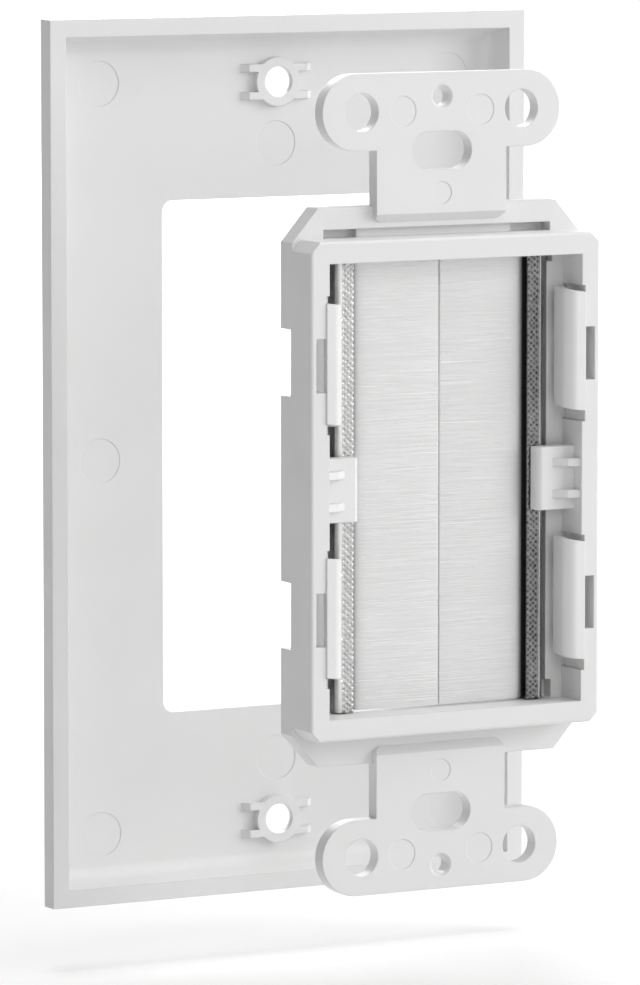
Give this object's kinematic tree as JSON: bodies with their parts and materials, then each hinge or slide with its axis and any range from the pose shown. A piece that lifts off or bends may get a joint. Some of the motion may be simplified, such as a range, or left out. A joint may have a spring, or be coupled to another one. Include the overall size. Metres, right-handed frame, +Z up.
{
  "type": "brush wall plate",
  "caption": "One-gang cable pass-through wall plate: a bevelled cover plate with a snap-in style brush insert drawn back behind it, its facing bristle strips held in steel channels.",
  "frame": {"origin": "middle of the cover plate, on the plane of its rear rim, which is the plane of the wall", "axes": "+Y out of the wall towards the room, through the front of the plate; +Z up; +X to the right as seen from behind"},
  "size_m": [0.0698, 0.0497, 0.1142],
  "materials": {
    "plate_plastic": "satin white moulding",
    "insert_plastic": "satin white moulding",
    "channel_steel": "bright zinc with knurled crimp",
    "bristle_nylon": "fine white filaments",
    "wire_steel": "drawn wire"
  },
  "bodies": {
    "root": {"wall_plate": "plate_plastic", "insert_body": "insert_plastic", "channel_left": "channel_steel", "channel_right": "channel_steel", "bristles_left": "bristle_nylon", "bristles_right": "bristle_nylon", "core_wire_left": "wire_steel", "core_wire_right": "wire_steel"}
  },
  "joints": []
}
